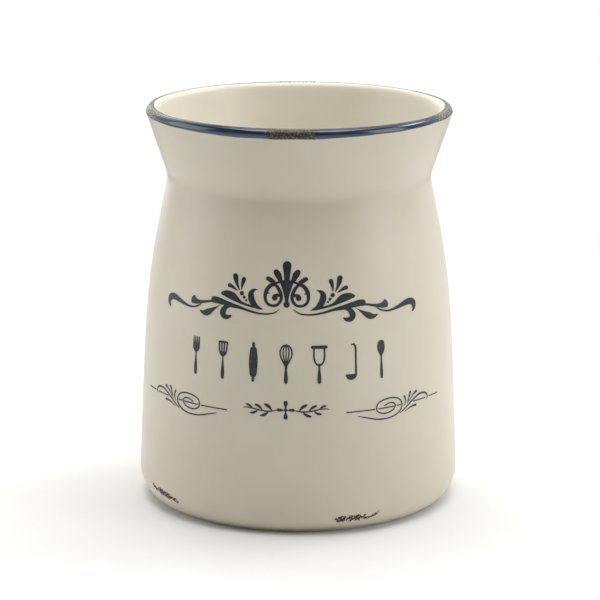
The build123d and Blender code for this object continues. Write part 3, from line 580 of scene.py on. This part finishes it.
def studio_floor():
    """Round card that the crock stands on: one face through points on a circle about the axis."""
    turn = np.linspace(0, math.tau, CARD_SIDES, endpoint=False)
    edge = CARD_RADIUS * np.stack([np.cos(turn), np.sin(turn), np.zeros(CARD_SIDES)], axis=-1)
    mesh = bpy.data.meshes.new("studio_floor")
    mesh.from_pydata(edge, [], [np.arange(CARD_SIDES)])
    mesh.materials.append(studio_card())
    card = bpy.data.objects.new("studio_floor", mesh)
    bpy.context.scene.collection.objects.link(card)


def softbox(name, turn, rise, distance, width, height, power, colour):
    """Lamp behind a diffuser, in watts, turned to the right of the front and raised, in degrees."""
    lamp = bpy.data.lights.new(name, "AREA")
    lamp.shape = "RECTANGLE"
    lamp.size, lamp.size_y = width, height
    lamp.energy = power
    lamp.color = linear(colour)[:3]
    holder = bpy.data.objects.new(name, lamp)
    way = direction(turn, rise)
    holder.location = Vector((0, 0, LAMP_AIM)) + way * distance
    holder.rotation_euler = way.to_track_quat("Z", "Y").to_euler()
    holder.visible_camera = False
    bpy.context.scene.collection.objects.link(holder)


def studio_room():
    """White walls behind and to the right, and a white table that is darker close to the card.

    Each gives its light smoothly over a range of directions. The picture's own ground is
    plain white.
    """
    world = bpy.data.worlds.new("studio")
    bpy.context.scene.world = world
    world.use_nodes = True
    tree = world.node_tree
    tree.nodes.clear()
    way = add(tree, "ShaderNodeTexCoord", {}, "Generated")
    across = add(tree, "ShaderNodeSeparateXYZ", {"Vector": way}, "X")
    behind = add(tree, "ShaderNodeSeparateXYZ", {"Vector": way}, "Y")
    height = add(tree, "ShaderNodeSeparateXYZ", {"Vector": way}, "Z")
    smooth = {"interpolation_type": "SMOOTHSTEP"}
    start, full = RIGHT_WALL_REACH
    right = {"Value": across, "From Min": start, "From Max": full, "To Max": RIGHT_WALL_LIGHT}
    right = add(tree, "ShaderNodeMapRange", right, **smooth)
    start, full = BACK_WALL_REACH
    back = {"Value": behind, "From Min": start, "From Max": full, "To Max": BACK_WALL_LIGHT}
    back = add(tree, "ShaderNodeMapRange", back, **smooth)
    walls = add(tree, "ShaderNodeMath", {0: right, 1: back}, operation="ADD")
    above = {"Value": height, "From Min": -HORIZON, "From Max": HORIZON}
    above = add(tree, "ShaderNodeMapRange", above, **smooth)
    table = {"Value": height, "From Min": HORIZON, "From Max": -HORIZON, "To Max": TABLE_LIGHT}
    table = add(tree, "ShaderNodeMapRange", table, **smooth)
    start, full = FAR_TABLE_REACH
    far = {"Value": height, "From Min": start, "From Max": full, "To Min": NEAR_TABLE_SHARE}
    far = add(tree, "ShaderNodeMapRange", far, **smooth)
    table = add(tree, "ShaderNodeMath", {0: table, 1: far}, operation="MULTIPLY")
    light = add(tree, "ShaderNodeMath", {0: walls, 1: above, 2: table}, operation="MULTIPLY_ADD")
    room = add(tree, "ShaderNodeBackground", {"Color": linear("#FFFFFF"), "Strength": light})
    backdrop = add(tree, "ShaderNodeBackground", {"Color": linear("#FFFFFF"), "Strength": 1})
    seen = add(tree, "ShaderNodeLightPath", {}, "Is Camera Ray")
    either = add(tree, "ShaderNodeMixShader", {0: seen, 1: room, 2: backdrop})
    add(tree, "ShaderNodeOutputWorld", {"Surface": either})


def photographers_camera():
    """Camera on the photograph's line of sight, slightly rolled and shifted as the photograph is."""
    lens = bpy.data.cameras.new("camera")
    lens.sensor_width = SENSOR
    lens.lens = CAMERA_FOCUS * SENSOR / PHOTO_WIDTH
    lens.shift_x = CAMERA_ASIDE / PHOTO_WIDTH
    lens.clip_start = CAMERA_NEAR
    lens.clip_end = CAMERA_FAR
    back = direction(CAMERA_TURN, CAMERA_ELEVATION)
    holder = bpy.data.objects.new("camera", lens)
    look = (-back).to_track_quat("-Z", "Y").to_matrix().to_4x4()
    roll = Matrix.Rotation(math.radians(CAMERA_ROLL), 4, "Z")
    place = Matrix.Translation(Vector((0, 0, CAMERA_AIM)) + back * CAMERA_DISTANCE)
    holder.matrix_world = place @ look @ roll
    bpy.context.scene.collection.objects.link(holder)
    bpy.context.scene.camera = holder


# The ware
dipped_cream = cream_glaze("dipped_cream_glaze", "#DAD3C0", "#D6CEB9")
# The inside's copy of the cream glaze is drawn paler than the outside's, as painted light that lifts the
# shade inside the jar
inside_cream_painted_lighter = cream_glaze("cream_glaze_inside_painted_lighter", "#ECE6D8", "#E8E2D2")
outer_wall(dipped_cream)
inner_wall(inside_cream_painted_lighter)
lip_band()
lip_marks()
foot_flecks()
carried_over(bare_clay(), "fired_body")
carried_over(dipped_cream, "base_glaze")
printed = [
    part["node"] for part in frame["record"]["subparts"] if part["material_slot"] == "navy_print"
]
carried_over(print_ink(), *printed)

# The studio
studio_floor()
for lamp in LAMPS:
    softbox(*lamp)
studio_room()
photographers_camera()
bpy.context.scene.view_settings.view_transform = "Standard"
